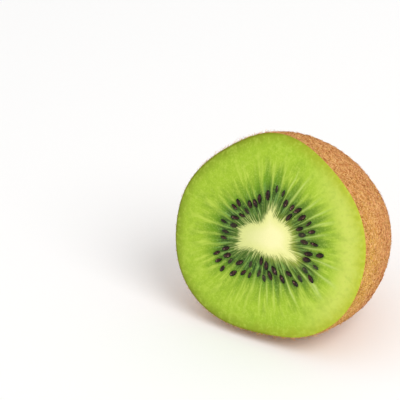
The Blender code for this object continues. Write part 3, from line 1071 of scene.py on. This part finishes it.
HAIR_OFF_FLOOR = 0.02 * MM
NEXT_TO_CUT = 1.6 * MM
HAIR_DARK = srgb(146, 68, 26)
HAIR_REDDISH = srgb(222, 138, 84)
HAIR_OLIVE = srgb(198, 142, 58)
HAIR_GOLD = srgb(226, 162, 74)
HAIR_MUSTARD = srgb(206, 168, 52)
HAIR_ROSY_TIP = srgb(255, 196, 142)
HAIR_STRAW_TIP = srgb(246, 212, 120)


def scatter(mesh, count, draw, lowest, nearest, deepest):
    """Random places on the skin, spread evenly, with its direction there and the depth below the cut.

    Kept are those above this height over the floor, and between these two depths."""
    mesh.calc_loop_triangles()
    corners = np.array([vertex.co for vertex in mesh.vertices])
    below = np.array([value.value for value in mesh.attributes["below_cut"].data]) * MM
    triangles = np.array([triangle.vertices for triangle in mesh.loop_triangles])
    a, b, c = (corners[triangles[:, i]] for i in range(3))
    cross = np.cross(b - a, c - a)
    area = np.linalg.norm(cross, axis=1)
    pick = draw.choice(len(triangles), size=count, p=area / area.sum())
    u = draw.random(count)
    v = draw.random(count)
    flip = u + v > 1
    u[flip] = 1 - u[flip]
    v[flip] = 1 - v[flip]
    places = a[pick] + (b - a)[pick] * u[:, None] + (c - a)[pick] * v[:, None]
    outward = cross[pick] / area[pick][:, None]
    corner_depth = below[triangles[pick]]
    depth = corner_depth[:, 0] + (corner_depth[:, 1] - corner_depth[:, 0]) * u
    depth = depth + (corner_depth[:, 2] - corner_depth[:, 0]) * v
    keep = (places[:, 2] > lowest) & (depth > nearest) & (depth < deepest)
    return places[keep], outward[keep], depth[keep]


def unit(vectors):
    """The vectors, one to a row, each made 1 long."""
    return vectors / np.maximum(np.linalg.norm(vectors, axis=1), 1e-12)[:, None]


def comb(outward, turn):
    """Directions along the skin. A turn of 0 points away from the cut, a quarter round the fruit."""
    axis = np.array(LAID_DOWN.to_3x3() @ Vector((0, 0, -1)))
    away = unit(axis - outward * (outward @ axis)[:, None])
    round_it = np.cross(outward, away)
    return unit(away * np.cos(turn)[:, None] + round_it * np.sin(turn)[:, None])


def grow_hairs(name, roots, turn, draw, length, width, lift, curl, bends):
    """One piece of many hairs. Each leaves its root outward, lies over as combed, and curls sideways.

    Those next to the cut are combed and curled away from it, so none lies over the flesh."""
    places, outward, below = roots
    count = len(places)
    hair_curl = draw.uniform(-curl, curl, count)
    near = below < NEXT_TO_CUT
    turn = np.where(near, np.clip(turn, -1.5, 1.5), turn)
    hair_curl = np.where(near, -np.sign(turn) * np.abs(hair_curl), hair_curl)
    combed = comb(outward, turn)
    side = unit(np.cross(outward, combed))
    hair_length = length[0] + (length[1] - length[0]) * draw.random(count) ** 1.5
    hair_lift = lift[0] + (lift[1] - lift[0]) * draw.random(count) ** 2
    hair_width = width * draw.uniform(*HAIR_WIDTHS_VARY, count)
    levels = []
    steps = bends + 1
    for k in range(steps + 1):
        share = k / steps
        swing = hair_curl * share * 2
        path = places - outward * HAIR_ROOT
        path = path + combed * (hair_length * share * np.cos(swing))[:, None]
        path = path + outward * (hair_length * hair_lift * math.sin(share * math.pi * 0.75))[:, None]
        path = path + side * (hair_length * share * np.sin(swing))[:, None]
        levels.append(path)
    rings = []
    for k, path in enumerate(levels[:-1]):
        thin = hair_width * (1 - HAIR_TAPER * k / steps) / 2
        for corner in range(3):
            around = math.tau * corner / 3
            rings.append(path + (outward * math.cos(around) + side * math.sin(around)) * thin[:, None])
    rings.append(levels[-1])
    corners = np.stack(rings, axis=1)
    corners[..., 2] = np.maximum(corners[..., 2], HAIR_OFF_FLOOR)
    faces = [(0, 1, 2)]
    for k in range(0, 3 * steps - 3, 3):
        for corner in range(3):
            after = (corner + 1) % 3
            faces.append((k + corner, k + 3 + corner, k + 3 + after))
            faces.append((k + corner, k + 3 + after, k + after))
    for corner in range(3):
        faces.append((3 * steps - 3 + corner, 3 * steps, 3 * steps - 3 + (corner + 1) % 3))
    per_hair = corners.shape[1]
    all_faces = (np.array(faces)[None] + per_hair * np.arange(count)[:, None, None]).reshape(-1, 3)
    mesh = bpy.data.meshes.new(name)
    mesh.from_pydata(corners.reshape(-1, 3).tolist(), [], all_faces.tolist())
    set_attribute(mesh, "hair_tone", np.repeat(draw.random(count), per_hair))
    set_attribute(mesh, "below_cut", np.repeat(below / MM, per_hair))
    hairs = bpy.data.objects.new(name, mesh)
    bpy.context.scene.collection.objects.link(hairs)
    pick_only(hairs)
    bpy.ops.object.shade_smooth()
    return hairs


def hair_material():
    """Dark to pale golden brown, in clumps, and lightest next to the cut."""
    material, tree = new_material("golden_hair")
    place = object_place(tree)
    clumps = ramp(tree, grain(tree, place, (1000, 1000, 1000), 2, 0.6), 0.38, 0.62, -0.45, 0.35)
    tone = calc(tree, "ADD", read(tree, "hair_tone"), clumps)
    tone = calc(tree, "ADD", tone, ramp(tree, read(tree, "below_cut"), 1.2, 0.5, 0.0, 0.3))
    hues = ramp(tree, grain(tree, place, (800, 800, 800), 2, 0.6), 0.4, 0.6)
    middle = tint(tree, hues, HAIR_REDDISH, HAIR_OLIVE)
    middle = tint(tree, golden_share(tree), middle, tint(tree, hues, HAIR_GOLD, HAIR_MUSTARD))
    color = tint(tree, ramp(tree, tone, -0.1, 0.35), HAIR_DARK, middle)
    tips = tint(tree, hues, HAIR_ROSY_TIP, HAIR_STRAW_TIP)
    color = tint(tree, ramp(tree, tone, 0.4, 1.1), color, tips)
    show(tree, color, 0.6, 0.2)
    return material


golden_hair = hair_material()
hair_draw = np.random.default_rng(HAIR_DRAW)

in_reach = {"lowest": 0.3 * MM, "nearest": 0.3 * MM, "deepest": SCAR_TOP}
roots = scatter(skin_outside, DOWN_TRIED, hair_draw, **in_reach)
turn = hair_draw.normal(math.pi / 2, 0.7, len(roots[0]))
dress(grow_hairs("down", roots, turn, hair_draw, **DOWN), golden_hair, "flesh")

in_reach = {"lowest": 0.8 * MM, "nearest": 0.5 * MM, "deepest": SCAR_TOP}
roots = scatter(skin_outside, CURLS_TRIED, hair_draw, **in_reach)
turn = hair_draw.uniform(-1.8, 1.8, len(roots[0]))
dress(grow_hairs("curled_hairs", roots, turn, hair_draw, **CURLS), golden_hair, "flesh")

in_reach = {"lowest": 0.8 * MM, "nearest": 0, "deepest": FRINGE_BAND}
roots = scatter(skin_outside, FRINGE_TRIED, hair_draw, **in_reach)
turn = hair_draw.choice((-1, 1), len(roots[0])) * hair_draw.uniform(0.5, 1.5, len(roots[0]))
dress(grow_hairs("rim_fringe", roots, turn, hair_draw, **FRINGE), golden_hair, "flesh")
